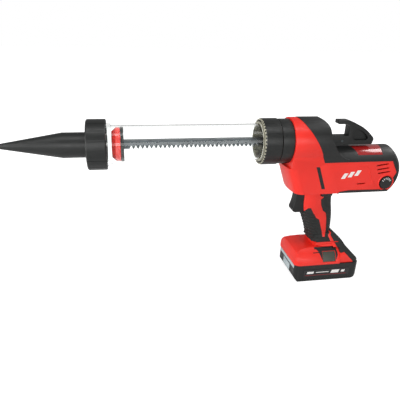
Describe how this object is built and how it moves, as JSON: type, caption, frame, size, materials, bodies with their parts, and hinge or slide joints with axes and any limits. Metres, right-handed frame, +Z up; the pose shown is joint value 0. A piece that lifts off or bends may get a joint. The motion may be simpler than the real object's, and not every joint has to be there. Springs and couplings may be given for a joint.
{
  "type": "caulking gun",
  "caption": "Battery caulking gun: clear barrel with screw-off nozzle cap, rack-driven plunger with a pull hook, pistol grip with trigger, slide-on battery.",
  "frame": {"origin": "centre of the flat underside of the battery pack, on the tool's mid plane", "axes": "+Z up, -X the way the sealant leaves the nozzle, -Y the tool's left side"},
  "size_m": [0.6274, 0.08, 0.2779],
  "materials": {
    "black_plastic": "fine moulded texture",
    "red_plastic": "satin glass-filled nylon",
    "red_gloss": "polished",
    "soft_grip": "fine texture",
    "clear_plastic": "clear polished",
    "rack_steel": "milled",
    "gear_steel": "ground",
    "plate_aluminium": "bead blasted",
    "motor_metal": "zinc plated",
    "cell_wrap": "shrink sleeve",
    "board_green": "solder mask",
    "grey_plastic": "satin",
    "pale_grey": "label film",
    "copper_alloy": "plated"
  },
  "bodies": {
    "housing": {"mount_ring": "black_plastic", "gear_plate_left": "plate_aluminium", "gear_plate_right": "plate_aluminium", "pinion_bearings": "gear_steel", "countershaft_bearings": "gear_steel", "rack_guide_front": "black_plastic", "rack_guide_rear": "black_plastic", "ring_gear": "gear_steel", "output_plate": "gear_steel", "output_bearing": "gear_steel", "motor_can": "motor_metal", "left_shell": "red_plastic", "right_shell": "red_plastic", "left_rear_cover": "black_plastic", "right_rear_cover": "black_plastic", "left_grip_cover": "soft_grip", "right_grip_cover": "soft_grip", "left_window": "red_gloss", "right_window": "red_gloss", "left_slot_inlay": "black_plastic", "right_slot_inlay": "black_plastic", "foot_bumper": "soft_grip", "trigger_switch": "black_plastic", "trigger_spring": "gear_steel", "control_board": "board_green", "terminal_block": "black_plastic", "shell_screws": "rack_steel"},
    "barrel": {"barrel_tube": "clear_plastic", "front_ring": "clear_plastic", "rear_ring": "clear_plastic"},
    "collar": {"barrel_collar": "black_plastic"},
    "nozzle": {"nozzle": "black_plastic"},
    "cap": {"front_cap": "black_plastic"},
    "ram": {"rack": "rack_steel", "plunger_disc": "red_plastic", "plunger_seal": "black_plastic", "pull_hook": "black_plastic", "hook_pin": "rack_steel"},
    "pinion": {"rack_pinion": "gear_steel"},
    "clutch": {"clutch_gear": "gear_steel"},
    "countershaft": {"countershaft": "gear_steel"},
    "carrier": {"planet_carrier": "gear_steel"},
    "planet_1": {"planet_gear_1": "gear_steel"},
    "planet_2": {"planet_gear_2": "gear_steel"},
    "planet_3": {"planet_gear_3": "gear_steel"},
    "rotor": {"motor_rotor": "motor_metal", "motor_fan": "black_plastic"},
    "trigger": {"trigger": "black_plastic"},
    "selector": {"selector": "black_plastic"},
    "dial": {"speed_dial": "black_plastic"},
    "battery": {"battery_lower_case": "black_plastic", "battery_upper_case": "red_plastic", "battery_cells": "cell_wrap", "battery_board": "board_green", "gauge_panel": "pale_grey", "latch_spring_left": "gear_steel", "latch_spring_right": "gear_steel"},
    "latch_left": {"latch_button_left": "grey_plastic"},
    "latch_right": {"latch_button_right": "grey_plastic"},
    "gauge_button": {"gauge_button": "pale_grey"}
  },
  "joints": [
    {"name": "collar_turn", "type": "hinge", "parent": "barrel", "child": "collar", "pos_m": [-0.114, 0, 0.24], "axis": [1, 0, 0], "range_deg": [0, 721]},
    {"name": "barrel_slide", "type": "slide", "parent": "housing", "child": "barrel", "axis": [-1, 0, 0], "range_m": [0, 0.008]},
    {"name": "cap_turn", "type": "hinge", "parent": "nozzle", "child": "cap", "pos_m": [-0.375, 0, 0.24], "axis": [1, 0, 0], "range_deg": [0, 541]},
    {"name": "nozzle_slide", "type": "slide", "parent": "barrel", "child": "nozzle", "axis": [-1, 0, 0], "range_m": [0, 0.006]},
    {"name": "rack_slide", "type": "slide", "parent": "housing", "child": "ram", "axis": [1, 0, 0], "range_m": [0, 0.222]},
    {"name": "pinion_spin", "type": "hinge", "parent": "housing", "child": "pinion", "pos_m": [-0.04, 0, 0.22306], "axis": [0, 1, 0], "range_deg": [-10, 1015]},
    {"name": "rotor_spin", "type": "hinge", "parent": "housing", "child": "rotor", "pos_m": [0.05, 0, 0.19506], "axis": [1, 0, 0], "continuous": true},
    {"name": "carrier_spin", "type": "hinge", "parent": "housing", "child": "carrier", "pos_m": [0, 0, 0.19506], "axis": [1, 0, 0], "continuous": true},
    {"name": "countershaft_spin", "type": "hinge", "parent": "housing", "child": "countershaft", "pos_m": [-0.04, 0, 0.19506], "axis": [0, 1, 0], "continuous": true},
    {"name": "clutch_spin", "type": "hinge", "parent": "housing", "child": "clutch", "pos_m": [-0.04, 0, 0.22306], "axis": [0, 1, 0], "continuous": true},
    {"name": "trigger_pull", "type": "slide", "parent": "housing", "child": "trigger", "axis": [1, 0, 0], "range_m": [0, 0.007], "stiffness_N_per_m": 600, "springref_m": -0.005, "deforming": ["trigger_spring"]},
    {"name": "selector_push", "type": "slide", "parent": "housing", "child": "selector", "axis": [0, 1, 0], "range_m": [-0.0035, 0.0035]},
    {"name": "dial_turn", "type": "hinge", "parent": "housing", "child": "dial", "pos_m": [0.082, -0.03, 0.176], "axis": [0, 1, 0], "range_deg": [-135, 135]},
    {"name": "battery_slide", "type": "slide", "parent": "housing", "child": "battery", "axis": [-1, 0, 0], "range_m": [0, 0.09]},
    {"name": "latch_left_press", "type": "slide", "parent": "battery", "child": "latch_left", "axis": [0, 1, 0], "range_m": [0, 0.003], "stiffness_N_per_m": 1200, "springref_m": -0.002, "deforming": ["latch_spring_left"]},
    {"name": "latch_right_press", "type": "slide", "parent": "battery", "child": "latch_right", "axis": [0, -1, 0], "range_m": [0, 0.003], "stiffness_N_per_m": 1200, "springref_m": -0.002, "deforming": ["latch_spring_right"]},
    {"name": "gauge_press", "type": "slide", "parent": "battery", "child": "gauge_button", "axis": [1, 0, 0], "range_m": [0, 0.0008], "stiffness_N_per_m": 800, "springref_m": -0.001},
    {"name": "planet_1_spin", "type": "hinge", "parent": "carrier", "child": "planet_1", "pos_m": [0.009, 0.012, 0.19506], "axis": [1, 0, 0], "continuous": true},
    {"name": "planet_2_spin", "type": "hinge", "parent": "carrier", "child": "planet_2", "pos_m": [0.009, -0.006, 0.20546], "axis": [1, 0, 0], "continuous": true},
    {"name": "planet_3_spin", "type": "hinge", "parent": "carrier", "child": "planet_3", "pos_m": [0.009, -0.006, 0.18467], "axis": [1, 0, 0], "continuous": true}
  ],
  "couplings": [
    {"joint": "collar_turn", "follows": "barrel_slide", "rad_per_m": 1570.8},
    {"joint": "cap_turn", "follows": "nozzle_slide", "rad_per_m": 1570.8},
    {"joint": "pinion_spin", "follows": "rack_slide", "rad_per_m": 78.728},
    {"joint": "carrier_spin", "follows": "rotor_spin", "ratio": 0.2},
    {"joint": "countershaft_spin", "follows": "rotor_spin", "ratio": -0.1},
    {"joint": "clutch_spin", "follows": "rotor_spin", "ratio": 0.05},
    {"joint": "planet_1_spin", "follows": "rotor_spin", "ratio": -0.53333},
    {"joint": "planet_2_spin", "follows": "rotor_spin", "ratio": -0.53333},
    {"joint": "planet_3_spin", "follows": "rotor_spin", "ratio": -0.53333}
  ]
}
